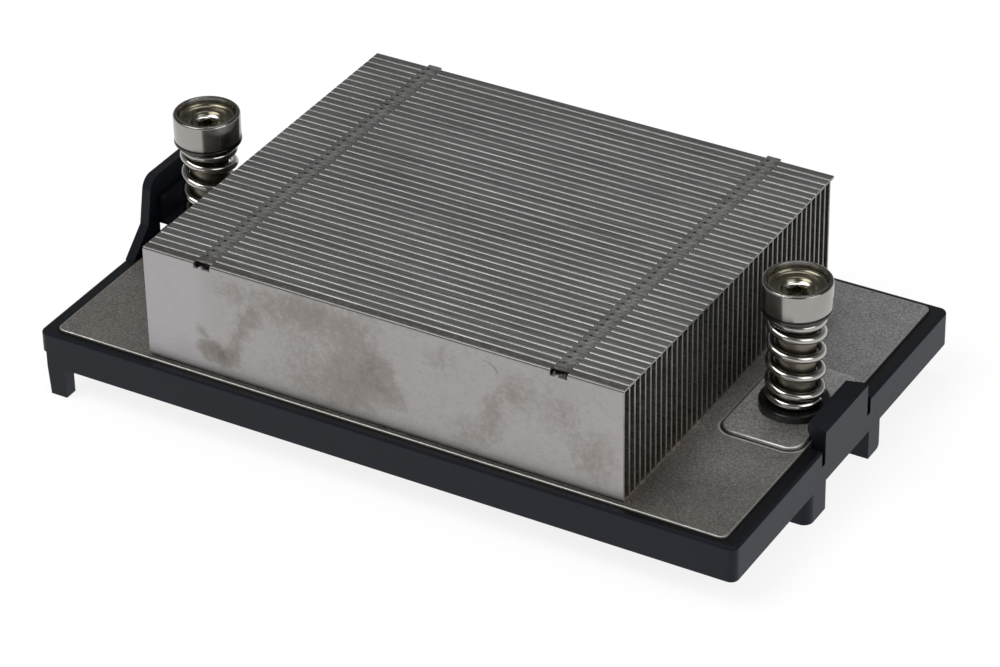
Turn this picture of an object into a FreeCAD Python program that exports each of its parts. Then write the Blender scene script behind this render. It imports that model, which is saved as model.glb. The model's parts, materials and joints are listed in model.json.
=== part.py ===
import FreeCAD, Part
import math
import os
import re

import Sketcher

# Passive heatsink for a server processor, held by two captive spring screws.
# Millimetres. +X runs along the fins, +Y across them, +Z up. The origin is at the middle of
# the footprint, on the plane that the carrier's feet stand on.

SIZES = {
    # Screw spacing of the processor socket, and what is set out from the screw axes.
    "screw_spacing": 104.14,
    "carrier_width": 73.0,           # the whole part across the fins
    "fin_end_gap": 10.67,            # from a screw's axis to the ends of the fins
    "plate_end": 6.43,               # from a screw's axis to the end of the base plate
    # Folded fins.
    "fin_count": 42,
    "fin_sheet": 0.4,
    "fin_bend": 0.5,                 # outer radius of the folds, which are sharp inside
    "fin_height": 19.4,
    "lock_spacing": 61.5,            # between the two rows of locks
    "lock_window_width": 2.9,
    "lock_window_depth": 1.0,        # across the fold, from the face of the fin
    "lock_window_drop": 1.0,         # down the face of the fin
    "lock_gap": 0.3,                 # between a tongue and the window that it fills
    # Base plate.
    "plate_margin": 0.97,            # from the fins to the long edges of the plate
    "plate_thickness": 4.0,
    "plate_corner": 1.3,
    "plate_edge": 0.35,
    "boss_height": 0.5,             # raised field round each screw
    "boss_inboard": 7.6,
    "boss_outboard": 6.0,
    "boss_width": 22.4,
    "boss_corner": 2.6,
    "boss_bevel": 0.35,
    "contact_length": 64.0,
    "contact_width": 48.0,
    "contact_height": 1.0,
    "contact_corner": 1.5,
    "contact_chamfer": 0.4,
    # Moulded carrier frame.
    "plate_clearance": 0.1,
    "end_wall": 2.2,
    "side_wall": 1.2,
    "carrier_corner": 1.3,
    "rim_round": 0.5,
    "rim_drop": 0.4,                 # the rim lies this far below the plate's top
    "ledge_width": 1.5,
    "ledge_thickness": 2.4,
    "step_depth": 1.1,               # the left wall is thinner below the plate
    # Feet.
    "foot_height": 5.2,
    "corner_foot_length": 3.3,
    "corner_foot_width": 2.3,
    "corner_foot_taper": 0.4,
    "end_foot_depth": 3.5,
    "front_foot_start": 6.7,
    "front_foot_width": 5.6,
    "front_foot_round": 1.6,
    "rear_foot_start": 8.1,
    "rear_foot_width": 3.8,
    "rear_foot_round": 0.8,
    # Snap tab on the right wall.
    "tab_width": 14.4,
    "tab_height": 2.4,               # outer edge above the plate's top
    "tab_rise": 1.2,                 # from the outer edge to the inner edge
    "tab_reach": 0.8,                # nose over the plate's end
    "tab_nose_height": 2.1,
    "tab_foot_height": 0.3,
    "slit_width": 1.1,
    "tab_corner_width": 2.3,         # the nose is cut back at the rear end of the tab
    "tab_corner_depth": 2.4,
    "slit_floor": 3.2,               # below the plate's top
    # Release lug on the left wall.
    "lug_height": 11.5,
    "lug_thickness": 1.6,
    "lug_base_width": 25.0,
    "lug_neck_width": 15.8,
    "lug_neck_height": 3.8,
    "lug_top_width": 12.6,
    "lug_round": 2.4,
    "lug_window_width": 9.4,
    "lug_window_top": 2.7,
    "hook_top": 7.7,
    "hook_depth": 0.9,
    "hook_nose_height": 3.6,
    "hook_reach": 1.1,               # nose over the plate's end
    # Captive screws.
    "head_radius": 5.48,
    "head_height": 5.2,
    "head_rim_round": 0.4,
    "head_lip": 0.17,
    "head_lip_height": 0.45,
    "dish_radius": 4.6,
    "dish_depth": 0.6,
    "drive_radius": 1.95,
    "drive_core_radius": 1.45,
    "drive_lobe_radius": 0.42,
    "drive_depth": 1.9,
    "shank_radius": 3.1,
    "thread_radius": 2.0,
    "thread_chamfer": 0.4,
    "tip_clearance": 1.0,            # screw tip above the plane of the feet
    "groove_depth": 0.8,
    "groove_land": 0.6,
    # Springs.
    "spring_wire": 1.35,
    "spring_radius": 4.65,           # outside
    "spring_length": 15.75,
    "closed_turns": 1.0,             # at each end, and ground flat
    "closed_pitch": 1.42,
    "open_turns": 3.5,
    # Spring seats.
    "seat_radius": 5.5,
    "seat_thickness": 1.3,
    "seat_round": 0.35,
    "sleeve_wall": 0.6,
    "sleeve_overhang": 0.6,
    "running_clearance": 0.06,
    # Retaining rings.
    "ring_thickness": 0.8,
    "ring_radius": 4.4,
    "ring_mouth": 3.4,
    "ring_clearance": 0.05,
}

# Lengths that follow from the sizes above.
BLOCK_LENGTH = "(screw_spacing - 2 * fin_end_gap)"
PLATE_LENGTH = "(screw_spacing + 2 * plate_end)"
PLATE_WIDTH = "(carrier_width - 2 * side_wall - 2 * plate_clearance)"
BLOCK_WIDTH = f"({PLATE_WIDTH} - 2 * plate_margin)"
FIN_PITCH = f"({BLOCK_WIDTH} / fin_count)"
POCKET_LENGTH = f"({PLATE_LENGTH} + 2 * plate_clearance)"
POCKET_WIDTH = f"({PLATE_WIDTH} + 2 * plate_clearance)"
CARRIER_LENGTH = f"({POCKET_LENGTH} + 2 * end_wall)"
PLATE_BOTTOM = "(foot_height + ledge_thickness)"
PLATE_TOP = f"({PLATE_BOTTOM} + plate_thickness)"
RIM_TOP = f"({PLATE_TOP} - rim_drop)"
SEAT_TOP = f"({PLATE_TOP} + boss_height + seat_thickness)"
SLEEVE_END = f"({PLATE_BOTTOM} - sleeve_overhang)"
SLEEVE_BORE = "(shank_radius + running_clearance)"
SLEEVE_RADIUS = f"({SLEEVE_BORE} + sleeve_wall)"
HEAD_BOTTOM = f"({SEAT_TOP} + spring_length)"
HEAD_TOP = f"({HEAD_BOTTOM} + head_height)"
GROOVE_RADIUS = "(shank_radius - groove_depth)"
GROOVE_BOTTOM = f"({SLEEVE_END} - ring_thickness - ring_clearance)"

WIRE_CORNERS = 12                    # the round wire is drawn with this many sides
SAME_PLACE = 1e-4                    # two heights or edges closer than this are one

doc = FreeCAD.newDocument("server_heatsink")


# --- Sizes and expressions ---------------------------------------------------------------

def make_sheet():
    """Put every driving dimension in the spreadsheet, with its name as the alias."""
    table = doc.addObject("Spreadsheet::Sheet", "Sizes")
    for row, (name, value) in enumerate(SIZES.items(), start=1):
        table.set(f"A{row}", name)
        table.set(f"B{row}", str(value))
        table.setAlias(f"B{row}", name)
    doc.recompute()
    return table


sheet = make_sheet()


def bound(expression):
    """Write an expression on size names as one on the spreadsheet's cells."""
    return re.sub(r"[a-z_]+", lambda word: f"Sizes.{word.group()}", expression)


def value_of(expression):
    """Work out an expression on size names as a number."""
    return float(sheet.evalExpression(bound(expression)))


def bind(feature, prop, expression):
    """Tie a property of a feature to an expression on size names."""
    feature.setExpression(prop, bound(expression))


# --- Sketch helpers ------------------------------------------------------------------------

def new_body(label):
    """Start the body of a sub-part."""
    body = doc.addObject("PartDesign::Body", label)
    body.Label = label
    return body


def origin_feature(body, role):
    """Find a plane or axis of a body's origin by its role."""
    return next(item for item in body.Origin.OriginFeatures if item.Role == role)


def new_sketch(body, name, plane, height="0"):
    """Put a sketch on an origin plane of the body, or at a height above it."""
    sketch = body.newObject("Sketcher::SketchObject", name)
    sketch.AttachmentSupport = (origin_feature(body, plane), [""])
    sketch.MapMode = "FlatFace"
    if height != "0":
        bind(sketch, "AttachmentOffset.Base.z", height)
    return sketch


def pin_point(sketch, curve, end, across, up):
    """Set out one point of a sketch from the sketch's origin."""
    for kind, expression in (("DistanceX", across), ("DistanceY", up)):
        constraint = Sketcher.Constraint(kind, -1, 1, curve, end, value_of(expression))
        index = sketch.addConstraint(constraint)
        bind(sketch, f"Constraints[{index}]", expression)


def arc_between(start, end, radius):
    """Make the short arc from start to end; a positive radius turns to the left."""
    chord = end - start
    half = chord.Length / 2
    side = FreeCAD.Vector(-chord.y, chord.x, 0).normalize()
    rise = math.sqrt(max(radius * radius - half * half, 0.0))
    centre = (start + end) * 0.5 + side * math.copysign(rise, radius)
    first, last = (start, end) if radius > 0 else (end, start)
    angles = [math.atan2(point.y - centre.y, point.x - centre.x) for point in (first, last)]
    circle = Part.Circle(centre, FreeCAD.Vector(0, 0, 1), abs(radius))
    return Part.ArcOfCircle(circle, *angles)


def draw_outline(sketch, corners):
    """Draw a closed outline through corners, each tied to its expressions.

    A corner is (across, up), or (across, up, radius) where an arc of that radius arrives at
    it; a minus sign before the radius turns the arc to the right.
    """
    places = [FreeCAD.Vector(value_of(item[0]), value_of(item[1]), 0) for item in corners]
    joints = []
    for index, corner in enumerate(corners):
        start = places[index - 1]
        end = places[index]
        if len(corner) == 2:
            curve = sketch.addGeometry(Part.LineSegment(start, end))
            joints.append((curve, 1, 2))
            continue
        radius = value_of(corner[2])
        curve = sketch.addGeometry(arc_between(start, end, radius))
        joints.append((curve, 1, 2) if radius > 0 else (curve, 2, 1))
        size = sketch.addConstraint(Sketcher.Constraint("Radius", curve, abs(radius)))
        bind(sketch, f"Constraints[{size}]", corner[2].lstrip("-"))
    for index, (curve, first, last) in enumerate(joints):
        before, _, before_last = joints[index - 1]
        sketch.addConstraint(Sketcher.Constraint("Coincident", before, before_last, curve, first))
        pin_point(sketch, curve, last, corners[index][0], corners[index][1])
    return sketch


def draw_rectangle(sketch, left, right, low, high, corner=None):
    """Draw a rectangle between four bound edges, with rounded corners if a radius is given."""
    if corner is None:
        draw_outline(sketch, [(left, low), (right, low), (right, high), (left, high)])
        return sketch
    draw_outline(sketch, [
        (f"{left} + {corner}", low), (f"{right} - {corner}", low),
        (right, f"{low} + {corner}", corner), (right, f"{high} - {corner}"),
        (f"{right} - {corner}", high, corner), (f"{left} + {corner}", high),
        (left, f"{high} - {corner}", corner), (left, f"{low} + {corner}"),
        (f"{left} + {corner}", low, corner)][1:])
    return sketch


def draw_circle(sketch, across, up, radius):
    """Draw a circle with its centre and radius bound."""
    centre = FreeCAD.Vector(value_of(across), value_of(up), 0)
    circle = Part.Circle(centre, FreeCAD.Vector(0, 0, 1), value_of(radius))
    curve = sketch.addGeometry(circle)
    size = sketch.addConstraint(Sketcher.Constraint("Radius", curve, value_of(radius)))
    bind(sketch, f"Constraints[{size}]", radius)
    pin_point(sketch, curve, 3, across, up)
    return sketch


# --- Feature helpers -----------------------------------------------------------------------

def add_pad(body, name, sketch, length, both_ways=False):
    """Pad a sketch, along its normal or half each way."""
    pad = body.newObject("PartDesign::Pad", name)
    pad.Profile = sketch
    bind(pad, "Length", length)
    pad.Midplane = both_ways
    doc.recompute()
    return pad


def cut_pocket(body, name, sketch, length, upwards=False, both_ways=False):
    """Cut a pocket, and make sure that it takes material away."""
    before = body.Shape.Volume
    pocket = body.newObject("PartDesign::Pocket", name)
    pocket.Profile = sketch
    bind(pocket, "Length", length)
    pocket.Reversed = upwards
    pocket.Midplane = both_ways
    doc.recompute()
    if not body.Shape.Volume < before:
        raise RuntimeError(f"{name} in {body.Label} cut nothing")
    return pocket


def revolve(body, name, sketch):
    """Turn a half profile about the body's Z axis."""
    turned = body.newObject("PartDesign::Revolution", name)
    turned.Profile = sketch
    turned.ReferenceAxis = (origin_feature(body, "Z_Axis"), [""])
    turned.Angle = 360
    doc.recompute()
    return turned


def edges_where(feature, wanted):
    """Name the edges of a feature's shape whose box passes the test."""
    edges = enumerate(feature.Shape.Edges, start=1)
    return [f"Edge{number}" for number, edge in edges if wanted(edge.BoundBox)]


def level_at(box, height):
    """Tell whether a box lies flat at a height."""
    return max(abs(box.ZMin - height), abs(box.ZMax - height)) < SAME_PLACE


def dress(body, kind, name, base, edges, prop, expression):
    """Round or chamfer edges of a feature by a bound size."""
    feature = body.newObject(f"PartDesign::{kind}", name)
    feature.Base = (base, edges)
    bind(feature, prop, expression)
    doc.recompute()
    return feature


def fillet(body, name, base, edges, radius):
    """Round edges of a feature."""
    return dress(body, "Fillet", name, base, edges, "Radius", radius)


def chamfer(body, name, base, edges, size):
    """Chamfer edges of a feature."""
    return dress(body, "Chamfer", name, base, edges, "Size", size)


def place(item, across="0", along="0", height="0"):
    """Tie the place of a sub-part to expressions."""
    prop = "LinkPlacement" if item.isDerivedFrom("App::Link") else "Placement"
    for axis, expression in (("x", across), ("y", along), ("z", height)):
        bind(item, f"{prop}.Base.{axis}", expression)
    return item


def copy_of(source, label, **where):
    """Repeat a sub-part as a link with its own label and place."""
    link = doc.addObject("App::Link", label)
    link.Label = label
    link.LinkedObject = source
    return place(link, **where)


# --- Fins -------------------------------------------------------------------------------------

def make_fin(label):
    """One fin: a channel folded from sheet, with two locks in its top fold.

    Its face is at Y 0 and its flanges reach back to the face of the next fin. Each lock is a
    window over the fold and a tongue on the flange's edge that fills the next fin's window.
    """
    body = new_body(label)
    roof = "(fin_height - fin_sheet)"
    profile = draw_outline(new_sketch(body, "fin_profile", "YZ_Plane"), [
        ("fin_bend", "0"),
        ("0", "fin_bend", "-fin_bend"),
        ("0", "fin_height - fin_bend"),
        ("fin_bend", "fin_height", "-fin_bend"),
        (FIN_PITCH, "fin_height"),
        (FIN_PITCH, roof),
        ("fin_sheet", roof),
        ("fin_sheet", "fin_sheet"),
        (FIN_PITCH, "fin_sheet"),
        (FIN_PITCH, "0"),
    ])
    add_pad(body, "folded_sheet", profile, BLOCK_LENGTH, both_ways=True)
    windows = new_sketch(body, "windows", "XY_Plane", "fin_height")
    tongues = new_sketch(body, "tongues", "XY_Plane", roof)
    for side in ("-", ""):
        row = f"{side}lock_spacing / 2"
        draw_rectangle(windows, f"{row} - lock_window_width / 2", f"{row} + lock_window_width / 2",
                       "-fin_sheet", "lock_window_depth")
        reach = "(lock_window_width / 2 - lock_gap)"
        draw_rectangle(tongues, f"{row} - {reach}", f"{row} + {reach}",
                       f"{FIN_PITCH} - fin_sheet / 2",
                       f"{FIN_PITCH} + lock_window_depth - lock_gap")
    cut_pocket(body, "lock_windows", windows, "lock_window_drop")
    add_pad(body, "lock_tongues", tongues, "fin_sheet")
    return body


def fin_place(index):
    """The place of a fin, counted from the front."""
    return {"along": f"{index} * {FIN_PITCH} - {BLOCK_WIDTH} / 2", "height": PLATE_TOP}


# --- Base plate ----------------------------------------------------------------------------

def make_base_plate(label):
    """The plate that the fins stand on, with a raised field and a hole for each screw."""
    body = new_body(label)
    slab = draw_rectangle(new_sketch(body, "slab_outline", "XY_Plane", PLATE_BOTTOM),
                          f"-{PLATE_LENGTH} / 2", f"{PLATE_LENGTH} / 2",
                          f"-{PLATE_WIDTH} / 2", f"{PLATE_WIDTH} / 2", "plate_corner")
    slab = add_pad(body, "slab", slab, "plate_thickness")
    top = value_of(PLATE_TOP)
    fillet(body, "slab_edge", slab, edges_where(slab, lambda box: level_at(box, top)), "plate_edge")

    contact = draw_rectangle(new_sketch(body, "contact_outline", "XY_Plane",
                                        f"{PLATE_BOTTOM} - contact_height"),
                             "-contact_length / 2", "contact_length / 2",
                             "-contact_width / 2", "contact_width / 2", "contact_corner")
    contact = add_pad(body, "contact_face", contact, "contact_height")
    low = value_of(f"{PLATE_BOTTOM} - contact_height")
    chamfer(body, "contact_edge", contact, edges_where(contact, lambda box: level_at(box, low)),
            "contact_chamfer")

    bosses = new_sketch(body, "boss_outlines", "XY_Plane", PLATE_TOP)
    axis = "screw_spacing / 2"
    draw_rectangle(bosses, f"{axis} - boss_inboard", f"{axis} + boss_outboard",
                   "-boss_width / 2", "boss_width / 2", "boss_corner")
    draw_rectangle(bosses, f"-{axis} - boss_outboard", f"-{axis} + boss_inboard",
                   "-boss_width / 2", "boss_width / 2", "boss_corner")
    bosses = add_pad(body, "bosses", bosses, "boss_height")
    crest = value_of(f"{PLATE_TOP} + boss_height")
    chamfer(body, "boss_edges", bosses, edges_where(bosses, lambda box: level_at(box, crest)),
            "boss_bevel")

    holes = new_sketch(body, "hole_circles", "XY_Plane", f"{PLATE_TOP} + boss_height")
    for side in ("-", ""):
        draw_circle(holes, f"{side}{axis}", "0", f"{SLEEVE_RADIUS} + running_clearance")
    cut_pocket(body, "screw_holes", holes, "plate_thickness + boss_height + contact_height")
    return body


# --- Carrier -----------------------------------------------------------------------------------

def make_carrier(label):
    """The moulded frame: a wall round the plate, a ledge under it, feet, a tab and a lug."""
    body = new_body(label)
    add_walls(body)
    add_feet(body)
    add_snap_tab(body)
    add_release_lug(body)
    return body


def add_walls(body):
    """The wall with its rounded rim, the plate's pocket, the ledge and the left wall's step."""
    outline = draw_rectangle(new_sketch(body, "wall_outline", "XY_Plane", "foot_height"),
                             f"-{CARRIER_LENGTH} / 2", f"{CARRIER_LENGTH} / 2",
                             f"-carrier_width / 2", f"carrier_width / 2", "carrier_corner")
    wall = add_pad(body, "wall", outline, f"{RIM_TOP} - foot_height")
    rim = value_of(RIM_TOP)
    fillet(body, "rim", wall, edges_where(wall, lambda box: level_at(box, rim)), "rim_round")
    pocket = draw_rectangle(new_sketch(body, "pocket_outline", "XY_Plane", RIM_TOP),
                            f"-{POCKET_LENGTH} / 2", f"{POCKET_LENGTH} / 2",
                            f"-{POCKET_WIDTH} / 2", f"{POCKET_WIDTH} / 2", "plate_corner")
    cut_pocket(body, "plate_pocket", pocket, f"{RIM_TOP} - {PLATE_BOTTOM}")
    opening = draw_rectangle(new_sketch(body, "opening_outline", "XY_Plane", PLATE_BOTTOM),
                             f"-{POCKET_LENGTH} / 2 + ledge_width",
                             f"{POCKET_LENGTH} / 2 - ledge_width",
                             f"-{POCKET_WIDTH} / 2 + ledge_width",
                             f"{POCKET_WIDTH} / 2 - ledge_width", "plate_corner")
    cut_pocket(body, "opening", opening, "ledge_thickness")
    step = draw_rectangle(new_sketch(body, "step_outline", "XY_Plane", PLATE_BOTTOM),
                          f"-{CARRIER_LENGTH} / 2 - step_depth",
                          f"-{CARRIER_LENGTH} / 2 + step_depth",
                          "-carrier_width", "carrier_width")
    cut_pocket(body, "left_step", step, "ledge_thickness")


def add_feet(body):
    """Two small feet at the left corners and two on the right wall, beside the tab."""
    edge = f"(-{CARRIER_LENGTH} / 2 + step_depth)"
    for name, setback in (("front", f"carrier_width / 2 - corner_foot_width"),
                          ("rear", f"-carrier_width / 2")):
        outline = draw_outline(new_sketch(body, f"{name}_corner_profile", "XZ_Plane", setback), [
            (f"{edge} + corner_foot_taper", "0"),
            (f"{edge} + corner_foot_length", "0"),
            (f"{edge} + corner_foot_length", "foot_height"),
            (edge, "foot_height"),
        ])
        add_pad(body, f"{name}_corner_foot", outline, "corner_foot_width")
    face = f"({CARRIER_LENGTH} / 2)"
    front = "(-front_foot_start - front_foot_width)"
    outline = draw_outline(new_sketch(body, "front_foot_outline", "XY_Plane"), [
        (f"{face} - front_foot_round", front),
        (face, f"{front} + front_foot_round", "front_foot_round"),
        (face, "-front_foot_start"),
        (f"{face} - end_foot_depth", "-front_foot_start"),
        (f"{face} - end_foot_depth", front),
    ])
    add_pad(body, "front_foot", outline, "foot_height")
    rear = draw_rectangle(new_sketch(body, "rear_foot_outline", "XY_Plane"),
                          f"{face} - end_foot_depth", face,
                          "rear_foot_start", "rear_foot_start + rear_foot_width")
    rear = add_pad(body, "rear_foot", rear, "foot_height")
    outer = value_of(face)
    corner = value_of("rear_foot_start + rear_foot_width")

    def is_rear_edge(box):
        """The lower outer edge of the rear foot, along X."""
        strays = max(abs(box.YMin - corner), abs(box.XMax - outer))
        return level_at(box, 0) and strays < SAME_PLACE

    fillet(body, "rear_foot_edge", rear, edges_where(rear, is_rear_edge), "rear_foot_round")


def add_snap_tab(body):
    """The short tab on the right wall, freed by a slit at each end, with its nose inwards."""
    face = f"({CARRIER_LENGTH} / 2)"
    inside = f"({POCKET_LENGTH} / 2)"
    tip = f"({PLATE_LENGTH} / 2 - tab_reach)"
    crest = f"({PLATE_TOP} + tab_height + tab_rise)"
    profile = draw_outline(new_sketch(body, "tab_profile", "XZ_Plane"), [
        (face, f"{RIM_TOP} - rim_round"),
        (face, f"{PLATE_TOP} + tab_height"),
        (f"{tip} + tab_rise / 4", crest),
        (tip, f"{PLATE_TOP} + tab_nose_height"),
        (inside, f"{PLATE_TOP} + tab_foot_height", "2 * tab_nose_height"),
        (inside, f"{RIM_TOP} - rim_round"),
    ])
    add_pad(body, "tab", profile, "tab_width", both_ways=True)
    slits = new_sketch(body, "slit_outlines", "XY_Plane", PLATE_TOP)
    for low, high in (("-tab_width / 2 - slit_width", "-tab_width / 2"),
                      ("tab_width / 2", "tab_width / 2 + slit_width")):
        draw_rectangle(slits, f"{inside} - plate_clearance / 2", f"{face} + end_wall", low, high)
    cut_pocket(body, "slits", slits, "slit_floor")
    corner = draw_outline(new_sketch(body, "corner_outline", "XY_Plane", crest), [
        (f"{tip} - tab_corner_depth", "tab_width / 2 + slit_width"),
        (f"{tip} - tab_corner_depth", "tab_width / 2 - tab_corner_width"),
        (tip, "tab_width / 2 - tab_corner_width"),
        (f"{tip} + tab_corner_depth", "tab_width / 2"),
        (f"{tip} + tab_corner_depth", "tab_width / 2 + slit_width"),
    ])
    cut_pocket(body, "tab_corner", corner, "tab_height + tab_rise")


def add_release_lug(body):
    """The tall lug on the left wall, flared at its foot, with a window under its hook."""
    back = f"(-{CARRIER_LENGTH} / 2)"
    outline = draw_outline(new_sketch(body, "lug_outline", "YZ_Plane", back), [
        ("-lug_base_width / 2", f"{RIM_TOP} - rim_round"),
        ("lug_base_width / 2", f"{RIM_TOP} - rim_round"),
        ("lug_base_width / 2", RIM_TOP),
        ("lug_neck_width / 2", f"{PLATE_TOP} + lug_neck_height"),
        ("lug_top_width / 2", f"{PLATE_TOP} + lug_height"),
        ("-lug_top_width / 2", f"{PLATE_TOP} + lug_height"),
        ("-lug_neck_width / 2", f"{PLATE_TOP} + lug_neck_height"),
        ("-lug_base_width / 2", RIM_TOP),
    ])
    lug = add_pad(body, "lug", outline, "lug_thickness")
    half = value_of("lug_top_width / 2")
    crest = value_of(f"{PLATE_TOP} + lug_height")

    def is_top_corner(box):
        """One of the lug's two top corners, along X."""
        strays = max(abs(abs(box.YMin) - half), box.YLength)
        return level_at(box, crest) and strays < SAME_PLACE

    fillet(body, "lug_corners", lug, edges_where(lug, is_top_corner), "lug_round")
    window = draw_rectangle(new_sketch(body, "window_outline", "YZ_Plane", back),
                            "-lug_window_width / 2", "lug_window_width / 2",
                            RIM_TOP, f"{PLATE_TOP} + lug_window_top")
    cut_pocket(body, "lug_window", window, "lug_thickness", upwards=True)
    inside = f"({back} + lug_thickness)"
    hook = draw_outline(new_sketch(body, "hook_profile", "XZ_Plane"), [
        (f"{back} + lug_thickness / 2", f"{PLATE_TOP} + hook_top"),
        (f"{inside} + hook_depth / 2", f"{PLATE_TOP} + hook_top"),
        (f"{inside} + hook_depth", f"{PLATE_TOP} + hook_top - hook_depth / 2"),
        (f"{inside} + hook_depth", f"{PLATE_TOP} + hook_nose_height"),
        (f"-{PLATE_LENGTH} / 2 + hook_reach", f"{PLATE_TOP} + lug_window_top + hook_depth / 3"),
        (f"-{PLATE_LENGTH} / 2 + hook_reach", f"{PLATE_TOP} + lug_window_top"),
        (f"{back} + lug_thickness / 2", f"{PLATE_TOP} + lug_window_top"),
    ])
    add_pad(body, "hook", hook, "lug_window_width", both_ways=True)


# --- Captive screws ------------------------------------------------------------------------

def make_screw(label):
    """A shouldered screw: dished head with a lobed drive, shank, ring groove and tip."""
    body = new_body(label)
    groove_top = f"({GROOVE_BOTTOM} + ring_thickness + 2 * ring_clearance)"
    shoulder = f"({GROOVE_BOTTOM} - groove_land)"
    profile = draw_outline(new_sketch(body, "half_profile", "XZ_Plane"), [
        ("0", "tip_clearance"),
        ("thread_radius - thread_chamfer", "tip_clearance"),
        ("thread_radius", "tip_clearance + thread_chamfer"),
        ("thread_radius", shoulder),
        ("shank_radius", shoulder),
        ("shank_radius", GROOVE_BOTTOM),
        (GROOVE_RADIUS, GROOVE_BOTTOM),
        (GROOVE_RADIUS, groove_top),
        ("shank_radius", groove_top),
        ("shank_radius", HEAD_BOTTOM),
        ("head_radius + head_lip", HEAD_BOTTOM),
        ("head_radius + head_lip", f"{HEAD_BOTTOM} + head_lip_height"),
        ("head_radius", f"{HEAD_BOTTOM} + head_lip_height"),
        ("head_radius", f"{HEAD_TOP} - head_rim_round"),
        ("head_radius - head_rim_round", HEAD_TOP, "head_rim_round"),
        ("dish_radius + head_rim_round", HEAD_TOP),
        ("dish_radius", f"{HEAD_TOP} - head_rim_round"),
        ("drive_radius", f"{HEAD_TOP} - dish_depth"),
        ("0", f"{HEAD_TOP} - dish_depth"),
    ])
    revolve(body, "turned_blank", profile)
    core = draw_circle(new_sketch(body, "drive_core", "XY_Plane", HEAD_TOP), "0", "0",
                       "drive_core_radius")
    cut_pocket(body, "drive_bore", core, "dish_depth + drive_depth")
    lobe = draw_circle(new_sketch(body, "drive_lobe", "XY_Plane", HEAD_TOP),
                       "drive_radius - drive_lobe_radius", "0", "drive_lobe_radius")
    lobe = cut_pocket(body, "drive_lobe_cut", lobe, "dish_depth + drive_depth")
    before = body.Shape.Volume
    lobes = body.newObject("PartDesign::PolarPattern", "drive_lobes")
    lobes.Originals = [lobe]
    lobes.Axis = (origin_feature(body, "Z_Axis"), [""])
    lobes.Angle = 360
    lobes.Occurrences = 6
    body.Tip = lobes
    doc.recompute()
    if not body.Shape.Volume < before:
        raise RuntimeError("the drive's lobes were not repeated")
    return body


def draw_wire(sketch, across, height):
    """Draw the wire's section about a centre."""
    corners = []
    for corner in range(WIRE_CORNERS):
        angle = (corner + 0.5) * 2 * math.pi / WIRE_CORNERS
        corners.append((f"{across} + {math.cos(angle):.6f} * spring_wire / 2",
                        f"{height} + {math.sin(angle):.6f} * spring_wire / 2"))
    return draw_outline(sketch, corners)


def make_spring(label):
    """A left-hand compression spring between seat and head, closed and ground at both ends.

    Each run of coils starts where the one below it ends, in height and in angle.
    """
    body = new_body(label)
    radius = "(spring_radius - spring_wire / 2)"
    rise = "(closed_turns * closed_pitch)"
    runs = [
        ("lower_coil", "0", SEAT_TOP, rise, "closed_turns"),
        ("open_coils", "closed_turns", f"{SEAT_TOP} + {rise}", f"spring_length - 2 * {rise}",
         "open_turns"),
        ("upper_coil", "(closed_turns + open_turns)", f"{HEAD_BOTTOM} - {rise}", rise,
         "closed_turns"),
    ]
    for name, turned, start, height, turns in runs:
        section = new_sketch(body, f"{name}_section", "XZ_Plane")
        upright = FreeCAD.Rotation(FreeCAD.Vector(0, 1, 0), 1)
        section.AttachmentOffset = FreeCAD.Placement(FreeCAD.Vector(), upright)
        bind(section, "AttachmentOffset.Rotation.Angle", f"-{turned} * 360")
        coil = body.newObject("PartDesign::AdditiveHelix", name)
        coil.Profile = draw_wire(section, radius, start)
        coil.ReferenceAxis = (origin_feature(body, "Z_Axis"), [""])
        coil.Mode = "height-turns-angle"
        bind(coil, "Height", height)
        bind(coil, "Turns", turns)
        coil.LeftHanded = True
        doc.recompute()
    for name, height, upwards in (("lower", SEAT_TOP, False), ("upper", HEAD_BOTTOM, True)):
        disc = draw_circle(new_sketch(body, f"{name}_end", "XY_Plane", height),
                           "0", "0", "spring_radius + spring_wire")
        cut_pocket(body, f"{name}_grind", disc, "2 * spring_wire", upwards=upwards)
    return body


def make_spring_seat(label):
    """A flanged bush: the spring stands on its flange and the shank runs in its sleeve."""
    body = new_body(label)
    flange_bottom = f"({PLATE_TOP} + boss_height)"
    profile = draw_outline(new_sketch(body, "half_profile", "XZ_Plane"), [
        (SLEEVE_BORE, SLEEVE_END),
        (SLEEVE_RADIUS, SLEEVE_END),
        (SLEEVE_RADIUS, flange_bottom),
        ("seat_radius", flange_bottom),
        ("seat_radius", f"{SEAT_TOP} - seat_round"),
        ("seat_radius - seat_round", SEAT_TOP, "seat_round"),
        (SLEEVE_BORE, SEAT_TOP),
    ])
    revolve(body, "turned_bush", profile)
    return body


def make_retaining_ring(label):
    """An open ring that sits in the shank's groove, under the bush."""
    body = new_body(label)
    bottom = f"{GROOVE_BOTTOM} + ring_clearance"
    disc = draw_circle(new_sketch(body, "ring_outline", "XY_Plane", bottom), "0", "0",
                       "ring_radius")
    draw_circle(disc, "0", "0", f"{GROOVE_RADIUS} + ring_clearance")
    add_pad(body, "ring", disc, "ring_thickness")
    mouth = draw_rectangle(new_sketch(body, "mouth_outline", "XY_Plane", bottom),
                           "-ring_mouth / 2", "ring_mouth / 2",
                           "-2 * ring_radius", f"-{GROOVE_RADIUS} / 2")
    cut_pocket(body, "mouth", mouth, "ring_thickness", upwards=True)
    return body


# --- Assembly --------------------------------------------------------------------------------

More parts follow.
